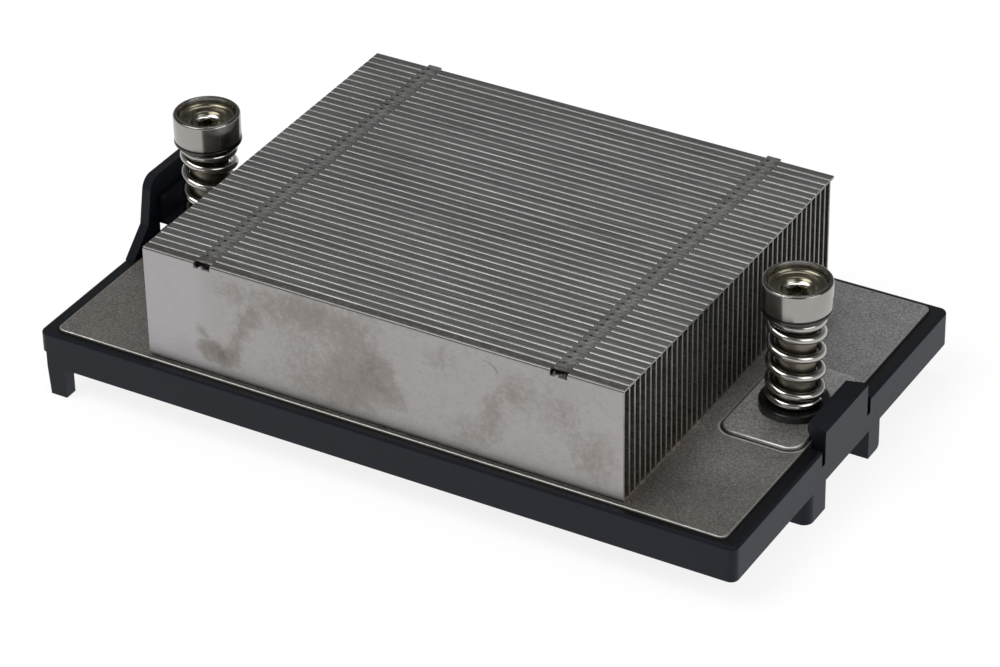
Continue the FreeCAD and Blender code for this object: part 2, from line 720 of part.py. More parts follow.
def make_assembly():
    """Build every sub-part and return them by node name."""
    nodes = [make_carrier("carrier_frame"), make_base_plate("base_plate")]
    first_fin = place(make_fin("fin_01"), **fin_place(0))
    nodes.append(first_fin)
    for index in range(1, round(value_of("fin_count"))):
        nodes.append(copy_of(first_fin, f"fin_{index + 1:02d}", **fin_place(index)))
    makers = {"screw": make_screw, "spring": make_spring, "spring_seat": make_spring_seat,
              "retaining_ring": make_retaining_ring}
    for name, maker in makers.items():
        right = place(maker(f"right_{name}"), across="screw_spacing / 2")
        nodes += [right, copy_of(right, f"left_{name}", across="-screw_spacing / 2")]
    doc.recompute()
    return nodes


def check(nodes):
    """Stop if any object failed or any sub-part has no sound shape."""
    for item in doc.Objects:
        if "Invalid" in item.State or "Error" in item.State:
            raise RuntimeError(f"{item.Name} is {item.State}")
    for node in nodes:
        if node.Shape.isNull() or not node.Shape.isValid():
            raise RuntimeError(f"{node.Label} has no sound shape")


def export(nodes):
    """Write each sub-part to its own file."""
    os.makedirs("parts", exist_ok=True)
    for node in nodes:
        node.Shape.exportStep(f"parts/{node.Label}.step")
        box = node.Shape.BoundBox
        print(f"{node.Label}: {len(node.Shape.Solids)} solid, {node.Shape.Volume:.1f} mm3, "
              f"z {box.ZMin:.2f} to {box.ZMax:.2f}")


sub_parts = make_assembly()
check(sub_parts)
export(sub_parts)
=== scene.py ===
import json
import logging
import math
from dataclasses import dataclass, field
from enum import Enum
from typing import Any, Iterable, Sequence

import bmesh
import bpy
from mathutils import Matrix, Vector


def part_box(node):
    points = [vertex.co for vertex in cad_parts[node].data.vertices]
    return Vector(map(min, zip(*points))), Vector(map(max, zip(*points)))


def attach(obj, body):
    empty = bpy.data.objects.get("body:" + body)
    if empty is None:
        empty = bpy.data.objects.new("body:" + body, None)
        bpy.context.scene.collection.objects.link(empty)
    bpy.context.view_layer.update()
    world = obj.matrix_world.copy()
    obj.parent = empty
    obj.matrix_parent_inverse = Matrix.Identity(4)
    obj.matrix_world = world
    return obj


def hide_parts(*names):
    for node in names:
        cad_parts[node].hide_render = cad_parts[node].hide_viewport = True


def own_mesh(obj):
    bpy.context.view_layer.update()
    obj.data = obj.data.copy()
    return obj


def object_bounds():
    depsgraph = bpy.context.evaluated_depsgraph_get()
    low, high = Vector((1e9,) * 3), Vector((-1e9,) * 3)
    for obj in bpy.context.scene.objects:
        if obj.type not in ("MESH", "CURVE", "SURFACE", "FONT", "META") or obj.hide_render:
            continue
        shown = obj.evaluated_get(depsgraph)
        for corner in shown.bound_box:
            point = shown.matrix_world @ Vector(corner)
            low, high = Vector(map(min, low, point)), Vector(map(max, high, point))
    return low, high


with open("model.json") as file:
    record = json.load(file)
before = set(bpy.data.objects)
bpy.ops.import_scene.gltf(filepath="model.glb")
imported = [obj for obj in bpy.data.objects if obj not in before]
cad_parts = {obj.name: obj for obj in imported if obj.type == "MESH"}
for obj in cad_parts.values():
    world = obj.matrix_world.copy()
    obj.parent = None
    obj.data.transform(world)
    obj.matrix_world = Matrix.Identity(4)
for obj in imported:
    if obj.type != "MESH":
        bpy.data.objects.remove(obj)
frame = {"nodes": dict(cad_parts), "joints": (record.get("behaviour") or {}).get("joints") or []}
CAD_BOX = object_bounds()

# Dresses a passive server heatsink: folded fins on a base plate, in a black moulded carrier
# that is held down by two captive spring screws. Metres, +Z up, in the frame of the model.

LOG = logging.getLogger("heatsink")
MM = 0.001
PLATE_TOP = 11.6 * MM
FOLD_TOP = 31.0 * MM
FIN_PITCH = 1.63 * MM
LOCK_ROW = 30.75 * MM
SCREW_AXIS = 52.07 * MM
EVEN = (1.0, 1.0, 1.0)

Triple = tuple[float, float, float]
Colour = Triple


class Side(Enum):
    """The two ends of the heatsink, with the sign of X at each."""

    LEFT = -1
    RIGHT = 1

    def part(self, word: str) -> str:
        """The name of this side's node, body, joint or piece of a kind."""
        return f"{self.name.lower()}_{word}"


# --- Shader maths -------------------------------------------------------------------------


class Value:
    """A number that varies over a surface. Sums, products and the like add Math nodes."""

    def __init__(self, tree: "Painting", socket: bpy.types.NodeSocket) -> None:
        """Wrap a socket.

        Args:
            tree: the painting that the socket belongs to.
            socket: the output that carries the number.
        """
        self.tree = tree
        self.socket = socket

    def math(self, operation: str, *terms: Any) -> "Value":
        """Add a Math node.

        Args:
            operation: the node's operation.
            terms: its inputs in order, as numbers or values.

        Returns:
            The node's result.
        """
        node = self.tree.node("ShaderNodeMath", {"operation": operation}, dict(enumerate(terms)))
        return Value(self.tree, node.outputs[0])

    def __add__(self, other: Any) -> "Value":
        """This value plus another."""
        return self.math("ADD", self, other)

    __radd__ = __add__

    def __sub__(self, other: Any) -> "Value":
        """This value less another."""
        return self.math("SUBTRACT", self, other)

    def __rsub__(self, other: Any) -> "Value":
        """Another value less this one."""
        return self.math("SUBTRACT", other, self)

    def __mul__(self, other: Any) -> "Value":
        """This value times another."""
        return self.math("MULTIPLY", self, other)

    __rmul__ = __mul__

    def __truediv__(self, other: Any) -> "Value":
        """This value over another."""
        return self.math("DIVIDE", self, other)

    def __pow__(self, other: Any) -> "Value":
        """This value to a power."""
        return self.math("POWER", self, other)

    def __abs__(self) -> "Value":
        """This value without its sign."""
        return self.math("ABSOLUTE", self)

    def either(self, other: Any) -> "Value":
        """The larger of two values."""
        return self.math("MAXIMUM", self, other)

    def lesser(self, other: Any) -> "Value":
        """The smaller of two values."""
        return self.math("MINIMUM", self, other)

    def clamped(self) -> "Value":
        """This value kept between 0 and 1."""
        return self.either(0.0).lesser(1.0)

    def sign(self) -> "Value":
        """-1, 0 or 1, as this value's sign is."""
        return self.math("SIGN", self)

    def floored(self) -> "Value":
        """This value rounded down."""
        return self.math("FLOOR", self)

    def fraction(self) -> "Value":
        """What is left of this value after its whole number."""
        return self.math("FRACT", self)

    def ramp(self, low: float, high: float) -> "Value":
        """0 below low, 1 above high, and a smooth step between.

        Args:
            low: where the step starts; it may be above high for a falling step.
            high: where the step ends.

        Returns:
            The step.
        """
        across = ((self - low) / (high - low)).clamped()
        return across * across * (3.0 - 2.0 * across)

    def band(self, start: float, full: float, fall: float, end: float) -> "Value":
        """1 on a band of this value, with a smooth step at either side.

        Args:
            start: where the step up starts.
            full: where it ends.
            fall: where the step down starts.
            end: where it ends.

        Returns:
            The band.
        """
        return self.ramp(start, full) * (1.0 - self.ramp(fall, end))


@dataclass
class Painting:
    """Anything painted with nodes: it adds them, fills them in and links them."""

    nodes: Any = field(init=False, repr=False)
    links: Any = field(init=False, repr=False)

    def start(self, owner: bpy.types.ID) -> None:
        """Take over the nodes of a material or a world and clear them.

        Args:
            owner: the material or world.
        """
        owner.use_nodes = True
        self.nodes, self.links = owner.node_tree.nodes, owner.node_tree.links
        self.nodes.clear()

    def node(self, kind: str, settings: dict[str, Any] | None = None,
             inputs: dict[Any, Any] | None = None) -> bpy.types.Node:
        """Add any node.

        Args:
            kind: the node's type.
            settings: its properties, set first; "stops" fills a colour ramp.
            inputs: numbers, colours, values or sockets, by the input's name or number.

        Returns:
            The node.
        """
        node = self.nodes.new(kind)
        for key, setting in (settings or {}).items():
            if key == "stops":
                self.fill_ramp(node.color_ramp, setting)
            else:
                setattr(node, key, setting)
        for key, given in (inputs or {}).items():
            self.plug(node.inputs[key], given)
        return node

    def plug(self, target: bpy.types.NodeSocket, given: Any) -> None:
        """Set or link an input.

        Args:
            target: the input.
            given: a number, colour, value or socket.
        """
        if isinstance(given, Value):
            given = given.socket
        if isinstance(given, bpy.types.NodeSocket):
            self.links.new(given, target)
        elif isinstance(given, tuple) and target.type == "RGBA":
            target.default_value = (*given, 1.0)
        else:
            target.default_value = given

    @staticmethod
    def fill_ramp(ramp: bpy.types.ColorRamp, stops: Sequence[tuple[float, Colour]]) -> None:
        """Set a ramp's stops.

        Args:
            ramp: the ramp, which has two stops when new.
            stops: places from 0 to 1 with their colours, lowest first.
        """
        while len(ramp.elements) < len(stops):
            ramp.elements.new(0.5)
        for element, (place, colour) in zip(ramp.elements, stops):
            element.position = place
            element.color = (*colour, 1.0)


@dataclass
class Finish(Painting):
    """A procedural material. Each finish of the object is a subclass that paints itself."""

    name: str = "finish"
    slot: str = ""
    material: bpy.types.Material = field(init=False, repr=False)
    shader: bpy.types.Node = field(init=False, repr=False)
    colour: Any = field(init=False, repr=False)

    def __post_init__(self) -> None:
        """Make the material with its shader and paint it."""
        self.material = bpy.data.materials.new(self.name)
        self.start(self.material)
        self.shader = self.node("ShaderNodeBsdfPrincipled")
        self.node("ShaderNodeOutputMaterial", {}, {"Surface": self.shader.outputs["BSDF"]})
        self.paint()

    def paint(self) -> None:
        """Set the shader's sockets; each subclass has its own."""

    def place(self, index: int) -> Value:
        """One coordinate of a point of the surface.

        Args:
            index: 0 for X, 1 for Y and 2 for Z.

        Returns:
            The coordinate in metres.
        """
        spot = self.node("ShaderNodeTexCoord").outputs["Object"]
        return Value(self, self.node("ShaderNodeSeparateXYZ", {}, {0: spot}).outputs[index])

    @property
    def across(self) -> Value:
        """How far right a point is, along the fins."""
        return self.place(0)

    @property
    def along(self) -> Value:
        """How far back a point is, across the fins."""
        return self.place(1)

    @property
    def height(self) -> Value:
        """How high a point is."""
        return self.place(2)

    def facing(self) -> tuple[Value, Value, Value]:
        """Tell which way the surface looks.

        Returns:
            The X, Y and Z of its direction.
        """
        normal = self.node("ShaderNodeTexCoord").outputs["Normal"]
        parts = self.node("ShaderNodeSeparateXYZ", {}, {0: normal})
        return tuple(Value(self, socket) for socket in parts.outputs)

    def noise(self, grain: float, stretch: Triple = EVEN, detail: float = 3.0,
              roughness: float = 0.5, offset: float = 0.0) -> Value:
        """Cloudy noise.

        Args:
            grain: the size of its clouds in millimetres.
            stretch: how many times longer the clouds are along each axis.
            detail: octaves of finer clouds.
            roughness: how strong the finer clouds are.
            offset: moves the pattern, so that two of a size differ.

        Returns:
            The noise, from 0 to 1 about 0.5.
        """
        scale = tuple(1.0 / (grain * MM * factor) for factor in stretch)
        spot = self.node("ShaderNodeTexCoord").outputs["Object"]
        mapped = self.node("ShaderNodeMapping", {}, {
            "Vector": spot, "Scale": scale, "Location": (offset, offset, offset)})
        cloud = self.node("ShaderNodeTexNoise", {"noise_dimensions": "3D"}, {
            "Vector": mapped.outputs[0], "Scale": 1.0, "Detail": detail, "Roughness": roughness})
        return Value(self, cloud.outputs[0])

    def chance(self, seed: Value) -> Value:
        """A random number from 0 to 1 for each different seed."""
        roll = self.node("ShaderNodeTexWhiteNoise", {"noise_dimensions": "1D"}, {"W": seed})
        return Value(self, roll.outputs["Value"])

    def blend(self, share: Any, first: Any, second: Any) -> bpy.types.NodeSocket:
        """Mix two colours.

        Args:
            share: how much of the second shows; it is kept between 0 and 1.
            first: a colour or a socket.
            second: a colour or a socket.

        Returns:
            The mixed colour's socket.
        """
        settings = {"data_type": "RGBA", "blend_type": "MIX", "clamp_factor": True}
        mixed = self.node("ShaderNodeMix", settings, {0: share, 6: first, 7: second})
        return mixed.outputs[2]

    def shade(self, colour: Any, factor: Any) -> bpy.types.NodeSocket:
        """Darken or lighten a colour.

        Args:
            colour: a colour or a socket.
            factor: what each of its channels is multiplied by.

        Returns:
            The new colour's socket.
        """
        grey = self.node("ShaderNodeCombineXYZ", {}, {0: factor, 1: factor, 2: factor})
        scaled = self.node("ShaderNodeVectorMath", {"operation": "MULTIPLY"}, {
            0: colour, 1: grey.outputs[0]})
        return scaled.outputs[0]

    def cover(self, share: Any, colour: Any) -> None:
        """Lay a colour over the finish's colour so far, as strongly as share says."""
        self.colour = self.blend(share, self.colour, colour)

    def tone(self, factor: Any) -> None:
        """Darken or lighten the finish's colour so far."""
        self.colour = self.shade(self.colour, factor)

    def spot(self, centre: Sequence[float], reach: Sequence[float]) -> Value:
        """A soft round patch, 1 at its centre and 0 at its edge.

        Args:
            centre: its middle in metres.
            reach: its half size along each axis.

        Returns:
            The patch.
        """
        total: Any = 0.0
        for part, middle, size in zip((self.across, self.along, self.height), centre, reach):
            offset = (part - middle) / size
            total = offset * offset + total
        return (1.0 - total).clamped()

    def bump(self, height: Value, depth: float) -> None:
        """Raise the surface's grain.

        Args:
            height: the grain, from 0 to 1.
            depth: how deep it is in millimetres.
        """
        node = self.node("ShaderNodeBump", {}, {
            "Strength": 1.0, "Distance": depth * MM, "Height": height})
        self.set_sockets(Normal=node.outputs[0])

    def set_sockets(self, **sockets: Any) -> None:
        """Set the shader's sockets.

        Args:
            sockets: numbers, colours, values or sockets, by the socket's name with underscores
                for its spaces.
        """
        for key, given in sockets.items():
            self.plug(self.shader.inputs[key.replace("_", " ")], given)

    def dress(self, nodes: Iterable[str]) -> None:
        """Put the finish on model nodes.

        Args:
            nodes: their names.
        """
        for name in nodes:
            piece = frame["nodes"][name]
            piece.data.materials.clear()
            piece.data.materials.append(self.material)
            LOG.info("%s: %s", name, self.name)


# --- Finishes ------------------------------------------------------------------------------


@dataclass
class FinSheet(Finish):
    """Mill-finished fin sheet: fine rolled streaks along X, with scuffs at the locks."""

    name: str = "fin_sheet"
    metal: Colour = (0.225, 0.221, 0.216)
    dull: Colour = (0.178, 0.175, 0.169)
    scuff: Colour = (0.46, 0.455, 0.44)
    # The soot colour is dark grime at the locks, and also painted shade at the folds, the pinholes and
    # the front fin's foot.
    soot_and_shade: Colour = (0.012, 0.011, 0.010)
    end_low: Colour = (0.40, 0.345, 0.29)
    end_high: Colour = (0.34, 0.328, 0.312)
    # fold: how much of each fold's brightness its painted shade keeps.
    fold: float = 0.98

    def paint(self) -> None:
        """Paint the sheet, its folds and locks and the cut ends."""
        streaks = self.noise(0.20, (60.0, 1.0, 1.0), 3.0, 0.7)
        flecks = self.noise(0.24, (5.0, 1.0, 1.0), 2.0, 0.6, 7.0)
        clouds = self.noise(14.0, (1.5, 1.0, 1.0), 2.0, 0.5, 3.0)
        luck = self.chance((self.along / FIN_PITCH).floored())
        tone = 0.20 + streaks.ramp(0.2, 0.8) * 0.85 + flecks * 0.50 + luck * 0.12 + clouds * 0.14
        self.colour = self.shade(self.blend(clouds, self.dull, self.metal), tone)
        # Painted light: the fins' inner walls below the folds are lightened, standing in for light
        # bounced between them.
        bounce_lit_walls = 1.0 - self.height.ramp(FOLD_TOP - 1.3 * MM, FOLD_TOP - 0.9 * MM)
        self.tone(1.0 + bounce_lit_walls * 0.9)
        self.paint_fold()
        self.paint_locks()
        self.paint_ends()
        self.set_sockets(Base_Color=self.colour, Metallic=1.0,
                         Roughness=(0.33 + streaks * 0.16).clamped())
        self.bump(streaks, 0.02)

    def paint_fold(self) -> None:
        """Paint shade on the outside of the folds, more so at the left, and a dark line of painted
        shade where they turn down.
        """
        _, outward, _ = self.facing()
        high = self.height.ramp(FOLD_TOP - 1.2 * MM, FOLD_TOP - 0.8 * MM)
        bend = outward.ramp(-0.06, -0.25) * high
        kept = self.fold + self.across.ramp(-45.0 * MM, 40.0 * MM) * 0.15
        # Painted shade: the outside of each fold that faces the front is darkened, less so to the
        # right, and a dark line is painted where it turns down.
        self.tone(1.0 - bend * (1.0 - kept))
        self.cover(outward.ramp(-0.60, -0.82) * high * 0.8, self.soot_and_shade)

    def paint_locks(self) -> None:
        """Scuff the sheet at the locks and paint a dot of shade for a pinhole beside each tongue."""
        from_row = self.across - self.across.sign() * LOCK_ROW
        across_fin = (self.along / FIN_PITCH).fraction()
        high = self.height.ramp(FOLD_TOP - 1.8 * MM, FOLD_TOP - 1.2 * MM)
        lock = (1.0 - abs(from_row).ramp(1.25 * MM, 1.75 * MM)) * high
        swirl = self.noise(0.42, (1.5, 1.0, 1.0), 3.0, 0.65, 5.0)
        slant = (from_row / MM - 0.15) - (across_fin - 0.5) * 0.9
        smear = lock * (1.0 - abs(slant).ramp(0.15, 0.55)) * swirl.ramp(0.40, 0.62)
        hole_x, hole_y = (from_row + 0.55 * MM) / (0.24 * MM), (across_fin - 0.62) / 0.17
        pinhole = (1.0 - (hole_x * hole_x + hole_y * hole_y)).ramp(0.0, 0.7)
        self.tone(1.0 + lock * 0.38)
        self.cover(lock * swirl.ramp(0.48, 0.68) * 0.36, self.soot_and_shade)
        self.cover(smear * 0.95, self.scuff)
        _, _, upward = self.facing()
        # Painted shade: a dark dot stands in for the shade inside a pinhole beside each tongue, on
        # faces that look up.
        self.cover(pinhole * upward.ramp(0.5, 0.9) * 0.9, self.soot_and_shade)

    def paint_ends(self) -> None:
        """Colour the cut ends of the fins, browner near the plate, with a painted highlight that
        lightens them towards the front.
        """
        rise = self.height.ramp(PLATE_TOP + 0.4 * MM, FOLD_TOP - 1.0 * MM)
        outward, _, _ = self.facing()
        patchy = self.noise(1.6, (1.0, 1.0, 2.0), 2.0, 0.6, 12.0)
        # Painted highlight: the cut ends are lightened towards the front.
        near = 1.0 - self.along.ramp(-30.0 * MM, 12.0 * MM)
        tone = (0.26 + patchy * 0.85) * (1.0 + near * 1.25)
        end = self.shade(self.blend(rise, self.end_low, self.end_high), tone)
        self.cover(abs(outward).ramp(0.8, 0.97), end)


@dataclass
class FrontFinSheet(FinSheet):
    """The outermost fin, whose broad face is bright and smudged with handling stains."""

    name: str = "front_fin_sheet"
    clean: Colour = (0.385, 0.37, 0.378)
    warm: Colour = (0.345, 0.328, 0.318)
    stain: Colour = (0.262, 0.242, 0.224)
    dark_stain: Colour = (0.155, 0.140, 0.126)
    strip: Colour = (0.115, 0.104, 0.094)
    # The front fin's folds keep less of their brightness under the painted shade.
    fold: float = 0.62
    ragged: float = 5.0 * MM
    smears: tuple[tuple[float, float, float, float, float], ...] = (
        (-21.9, 24.2, 1.8, 1.9, 0.75), (-23.6, 21.6, 1.6, 2.2, 0.75), (-25.2, 18.6, 1.6, 2.4, 0.8),
        (-27.2, 15.6, 3.0, 1.9, 1.25), (-29.8, 15.6, 2.3, 1.6, 1.0), (-31.3, 19.4, 1.1, 1.3, 0.8),
        (-30.3, 17.6, 1.2, 1.4, 0.5), (-24.0, 28.0, 6.0, 2.4, 0.4), (-14.5, 26.5, 5.5, 4.5, 0.55),
        (-8.0, 28.3, 8.0, 3.0, 0.6), (-3.8, 22.0, 4.6, 5.0, 0.75), (-0.4, 21.0, 2.6, 3.6, 0.9),
        (2.4, 18.0, 2.4, 2.4, 0.75), (-3.6, 16.0, 4.2, 3.6, 0.65), (-11.0, 17.0, 6.5, 4.5, 0.55),
        (19.4, 20.0, 1.8, 3.6, 0.75), (23.5, 25.0, 3.2, 3.2, 0.6), (16.4, 15.4, 3.4, 2.6, 0.5),
        (10.6, 26.5, 3.0, 2.6, 0.35), (31.0, 24.0, 3.4, 4.0, 0.4), (36.5, 17.5, 3.6, 4.0, 0.5),
        (-34.5, 15.0, 3.0, 2.0, 0.3))

    def paint(self) -> None:
        """Paint the smudged face over the plain sheet."""
        super().paint()
        grain = self.noise(0.45, (3.0, 1.0, 1.0), 3.0, 0.6, 11.0)
        mottle = self.noise(1.3, (1.0, 1.0, 1.3), 5.0, 0.7, 2.0)
        fine = self.noise(0.50, EVEN, 3.0, 0.7, 53.0)
        drift = self.noise(9.0, EVEN, 2.0, 0.5, 6.0)
        clear = self.across.ramp(-31.0 * MM, -27.0 * MM)
        patch_share = self.stains() * (0.10 + mottle * 1.10 + fine * 0.65)
        patch_share = (patch_share + (mottle - 0.36) * clear + (fine - 0.5) * clear * 0.9).either(0.0)
        handled = self.across.ramp(-33.5 * MM, -29.0 * MM) * (0.45 + drift * 0.5)
        top = self.height.ramp(FOLD_TOP - 0.10 * MM, FOLD_TOP - 0.03 * MM)
        self.cover(top * mottle.ramp(0.25, 0.60) * 0.8, self.strip)
        sheet, self.colour = self.colour, self.blend(handled, self.clean, self.warm)
        self.cover(patch_share.ramp(0.0, 0.95), self.stain)
        self.cover(patch_share.ramp(0.75, 2.6), self.dark_stain)
        self.tone(0.92 + grain * 0.16)
        self.cover(self.bow(fine) * 0.55, self.dark_stain)
        # Painted shade along the foot of the front face, where it meets the plate.
        foot_shadow = 1.0 - self.height.ramp(PLATE_TOP + 0.15 * MM, PLATE_TOP + 0.9 * MM)
        self.cover(foot_shadow * 0.55, self.soot_and_shade)
        _, outward, _ = self.facing()
        self.set_sockets(Base_Color=self.blend(outward.ramp(-0.80, -0.97), sheet, self.colour))

    def stains(self) -> Value:
        """Lay the handling stains on the face, with ragged edges.

        Returns:
            How strongly a place is stained.
        """
        across, height = (
            part + (self.noise(3.2, EVEN, 4.0, 0.6, offset) - 0.5) * self.ragged
            for part, offset in ((self.across, 31.0), (self.height, 47.0)))
        stained: Any = 0.0
        for middle, level, width, rise, weight in self.smears:
            over, up = (across - middle * MM) / (width * MM), (height - level * MM) / (rise * MM)
            patch = (1.0 - (over * over + up * up) * 0.38).clamped()
            stained = patch * patch * weight + stained
        return stained

    def bow(self, fine: Value) -> Value:
        """Draw the small bow-shaped mark near the top of the face.

        Args:
            fine: fine noise that breaks the mark up.

        Returns:
            The mark.
        """
        over, up = (self.across - 18.1 * MM) / (2.5 * MM), (self.height - 27.2 * MM) / (1.9 * MM)
        arc = 1.0 - abs((over * over + up * up) ** 0.5 - 1.0).ramp(0.02, 0.12)
        return arc * over.ramp(-0.1, 0.3) * up.ramp(0.0, 0.3) * fine.ramp(0.30, 0.45)


@dataclass
class PlateMetal(Finish):
    """Tumbled base plate: grainy and mottled, with painted highlights along its edges."""

    name: str = "plate_metal"
    metal: Colour = (0.235, 0.223, 0.203)
    cool: Colour = (0.37, 0.367, 0.372)
    # The bright and glint colours are painted highlights, and the shadow colour is painted shade.
    bright: Colour = (0.55, 0.545, 0.53)
    glint: Colour = (0.95, 0.94, 0.90)
    shadow: Colour = (0.05, 0.048, 0.043)
    field_middle: float = 51.27 * MM
    field_half: tuple[float, float] = (6.8 * MM, 11.2 * MM)
    field_corner: float = 2.6 * MM

    def paint(self) -> None:
        """Paint the plate with its raised fields and its edge."""
        grit = self.noise(0.36, EVEN, 4.0, 0.75)
        speck = self.noise(0.30, EVEN, 2.0, 0.6, 15.0)
        blotch = self.noise(3.0, EVEN, 3.0, 0.6, 4.0)
        # Painted light: the plate turns lighter and cooler towards the back right.
        back_right_light = (self.across * 0.4 + self.along * 1.4).ramp(-45.0 * MM, 75.0 * MM)
        tone = 0.31 + grit.ramp(0.25, 0.75) * 0.84 + speck.ramp(0.58, 0.74) * 0.65 + blotch * 0.28
        self.colour = self.shade(self.blend(back_right_light, self.metal, self.cool), tone)
        self.paint_fields()
        self.paint_edge()
        self.set_sockets(Base_Color=self.colour, Metallic=1.0,
                         Roughness=(0.34 + grit * 0.22).clamped())
        self.bump(grit, 0.05)

    def paint_fields(self) -> None:
        """Paint highlights on the shoulders of the raised fields and glints on their front rims, and
        painted shade at their feet.
        """
        corner = self.field_corner
        over_x = abs(abs(self.across) - self.field_middle) - (self.field_half[0] - corner)
        over_y = abs(self.along) - (self.field_half[1] - corner)
        out_x, out_y = over_x.either(0.0), over_y.either(0.0)
        edge = (out_x * out_x + out_y * out_y) ** 0.5 - corner
        edge = edge + over_x.either(over_y).lesser(0.0)
        shoulder = edge.band(-0.60 * MM, -0.48 * MM, -0.30 * MM, -0.20 * MM)
        crease = edge.band(-0.26 * MM, -0.14 * MM, 0.10 * MM, 0.26 * MM)
        rim = edge.band(0.14 * MM, 0.30 * MM, 0.38 * MM, 0.62 * MM)
        near = 1.0 - self.along.ramp(-10.5 * MM, -7.0 * MM)
        top = self.height.ramp(PLATE_TOP - 0.10 * MM, PLATE_TOP - 0.05 * MM)
        inner = (1.0 - edge.ramp(-0.50 * MM, -0.40 * MM)) * top
        # Painted light: the far left and a patch round the right field are lightened as well.
        left = 1.0 - self.across.ramp(-50.0 * MM, -42.0 * MM)
        patch_share = self.spot((46.0 * MM, -9.0 * MM, 12.0 * MM), (16.0 * MM, 17.0 * MM, 3.0 * MM))
        self.tone((1.0 + inner * 0.35) * (1.0 + left * 0.10 + patch_share * 0.65))
        # Painted highlight on the shoulders, painted shade in the crease at the foot and a painted
        # glint on the rim, strongest at the front.
        self.cover(shoulder * top * 0.95, self.bright)
        self.cover(crease * top * 0.85, self.shadow)
        self.cover(rim * top * (0.15 + near * 0.75), self.glint)

    def paint_edge(self) -> None:
        """Paint a highlight along the plate's upper edge, stronger at its nicks, and painted shade on
        the wall under it and on the strip in front of the fins.
        """
        nick = self.noise(0.55, EVEN, 2.0, 0.7, 21.0)
        near_left = 1.0 - abs(self.across + 54.0 * MM).ramp(2.0 * MM, 5.0 * MM)
        level = self.height - PLATE_TOP
        # Painted shade on the strip of plate in front of the fins.
        strip = (1.0 - self.along.ramp(-34.9 * MM, -34.2 * MM)) * level.ramp(-0.05 * MM, -0.02 * MM)
        strip = strip * (1.0 - abs(self.across).ramp(41.0 * MM, 43.0 * MM))
        self.cover(strip * 0.75, self.shadow)
        # Painted highlight along the upper edge, stronger at the nicks and near the left end.
        edge_highlight = level.band(-0.09 * MM, -0.06 * MM, -0.020 * MM, -0.001 * MM)
        highlight_strength = (0.35 + nick.ramp(0.5, 0.6) * near_left * 0.6 + nick * 0.25).lesser(1.0)
        self.cover(edge_highlight * highlight_strength, self.bright)
        # Painted shade on the wall under the edge.
        wall = 1.0 - level.ramp(-0.10 * MM, -0.06 * MM)
        self.cover(wall * 0.9, self.shadow)


@dataclass
class MouldedBlack(Finish):
    """Black moulding with a fine spark texture and slightly blue in the light, with painted light that
    makes faces towards +X lighter and bluer and faces that look up darker.
    """

    name: str = "moulded_black"
    body: Colour = (0.0046, 0.0049, 0.0070)
    # The side colour is a painted lit black for faces towards +X, and the top colour a painted shaded
    # black for faces that look up.
    side: Colour = (0.0036, 0.0060, 0.0130)
    top: Colour = (0.0022, 0.0022, 0.0025)
    tint: Colour = (0.78, 0.84, 1.0)
    sheen: float = 0.235

    def paint(self) -> None:
        """Paint the moulding."""
        spark = self.noise(0.22, EVEN, 3.0, 0.6)
        cloud = self.noise(9.0, EVEN, 2.0, 0.5, 6.0)
        rubs = self.noise(1.2, (4.0, 1.0, 1.0), 3.0, 0.6, 17.0)
        self.colour = self.shade(self.body, 0.7 + cloud * 0.6 + rubs.ramp(0.62, 0.75) * 0.9)
        sideways, _, upward = self.facing()
        # Painted light: faces towards +X get a lighter, bluer black, and faces that look up a darker
        # one.
        lit_flank = sideways.ramp(0.6, 0.9)
        self.cover(lit_flank, self.side)
        self.cover(upward.ramp(0.90, 0.98), self.top)
        edge = upward.band(0.15, 0.35, 0.90, 0.98)
        rough = 0.30 + spark * 0.16 + edge * 0.5 + lit_flank * 0.07
        self.set_sockets(Base_Color=self.colour, Metallic=0.0, Roughness=rough.clamped(),
                         Specular_IOR_Level=self.sheen, Specular_Tint=self.tint)
        self.bump(spark, 0.010)


@dataclass
class PlatedSteel(Finish):
    """Nickel-plated steel with faint marks."""

    name: str = "plated_steel"
    metal: Colour = (0.33, 0.318, 0.30)
    shine: float = 0.10

    def paint(self) -> None:
        """Paint the steel."""
        marks = self.noise(0.4, EVEN, 3.0, 0.6)
        cloud = self.noise(3.0, EVEN, 2.0, 0.5, 8.0)
        self.colour = self.shade(self.metal, 0.88 + cloud * 0.2)
        self.set_sockets(Base_Color=self.colour, Metallic=1.0,
                         Roughness=(self.shine + marks * 0.08).clamped())


